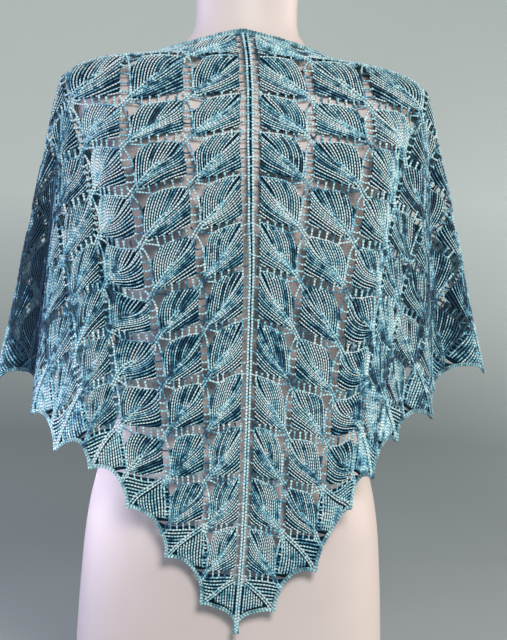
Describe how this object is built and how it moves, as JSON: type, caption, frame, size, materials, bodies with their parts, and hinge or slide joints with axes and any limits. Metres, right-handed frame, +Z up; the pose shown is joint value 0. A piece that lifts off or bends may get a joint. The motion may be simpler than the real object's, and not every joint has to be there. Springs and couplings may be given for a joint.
{
  "type": "knitted lace shawlette on a limbless dress form",
  "caption": "Triangular knitted lace shawl with a centre spine and a pointed edging, worn round the shoulders of a smooth limbless dress form.",
  "frame": {"origin": "middle of the dress form's flat base", "axes": "+Z up through the neck; +Y the way the wearer faces, so the back of the shawl faces -Y; +X the wearer's right hand side as seen from behind"},
  "size_m": [0.5643, 0.2925, 0.806],
  "materials": {
    "hand_dyed_yarn": "matte semi-solid hand-dyed wool, teal to blue-grey",
    "light_yarn": "matte semi-solid hand-dyed wool, pale aqua",
    "form_plastic": "smooth satin off-white"
  },
  "bodies": {
    "root": {"lace_left": "hand_dyed_yarn", "lace_right": "hand_dyed_yarn", "edging_left": "hand_dyed_yarn", "edging_right": "hand_dyed_yarn", "top_border": "hand_dyed_yarn", "centre_spine": "light_yarn", "form_torso": "form_plastic"}
  },
  "joints": []
}
